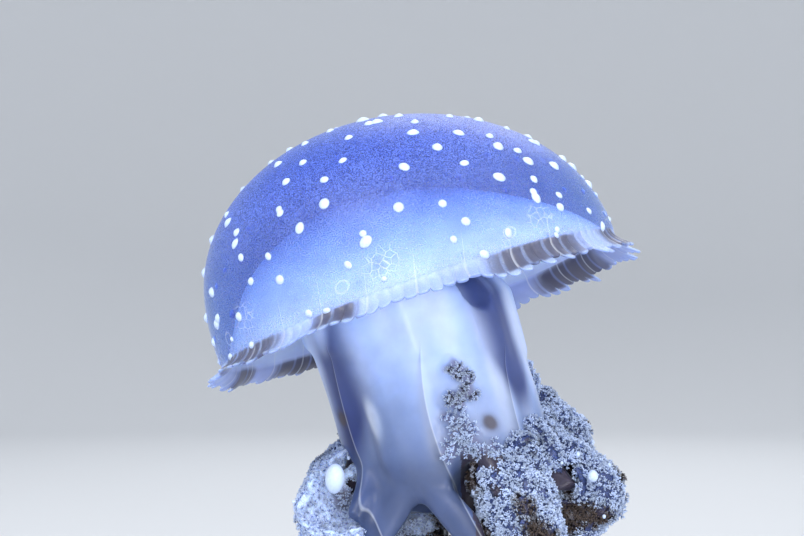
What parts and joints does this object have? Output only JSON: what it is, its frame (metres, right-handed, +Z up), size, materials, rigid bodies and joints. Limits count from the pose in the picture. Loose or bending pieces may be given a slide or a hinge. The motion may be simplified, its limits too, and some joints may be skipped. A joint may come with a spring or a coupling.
{
  "type": "white-spotted jellyfish model on display stand",
  "caption": "Life-size jellyfish with a domed translucent bell, white spots, lappeted rim and frilled oral arms, held swimming on a flat-based display stand.",
  "frame": {"origin": "centre of the stand's underside", "axes": "+Z up through the stand's rod; -Y towards the side that the reference view shows; the bell's apex leans to -X and +Y"},
  "size_m": [0.2186, 0.2272, 0.2756],
  "materials": {
    "bell_jelly": "clear wet jelly, cobalt where thick and pale over the hollow, fine-grained, with raised white spots",
    "lappet_jelly": "thin clear jelly with fine ridges and brown patches near the rim",
    "arm_jelly": "smooth translucent pale blue jelly",
    "frill_flesh": "feathery white-tipped mouth folds, brown at their bases",
    "club_flesh": "smooth opaque white club",
    "base_paint": "satin dark grey paint",
    "rod_steel": "brushed bright steel"
  },
  "bodies": {
    "root": {"bell": "bell_jelly", "lappets_1": "lappet_jelly", "lappets_2": "lappet_jelly", "lappets_3": "lappet_jelly", "lappets_4": "lappet_jelly", "lappets_5": "lappet_jelly", "lappets_6": "lappet_jelly", "lappets_7": "lappet_jelly", "lappets_8": "lappet_jelly", "arm_disc": "arm_jelly", "oral_arm_1": "arm_jelly", "oral_arm_2": "arm_jelly", "oral_arm_3": "arm_jelly", "oral_arm_4": "arm_jelly", "oral_arm_5": "arm_jelly", "oral_arm_6": "arm_jelly", "oral_arm_7": "arm_jelly", "oral_arm_8": "arm_jelly", "arm_frill_1": "frill_flesh", "arm_frill_2": "frill_flesh", "arm_frill_3": "frill_flesh", "arm_frill_4": "frill_flesh", "arm_frill_5": "frill_flesh", "arm_frill_6": "frill_flesh", "arm_frill_7": "frill_flesh", "arm_frill_8": "frill_flesh", "arm_club_1": "club_flesh", "arm_club_2": "club_flesh", "arm_club_3": "club_flesh", "arm_club_4": "club_flesh", "arm_club_5": "club_flesh", "arm_club_6": "club_flesh", "arm_club_7": "club_flesh", "arm_club_8": "club_flesh", "stand_base": "base_paint", "stand_rod": "rod_steel"}
  },
  "joints": []
}
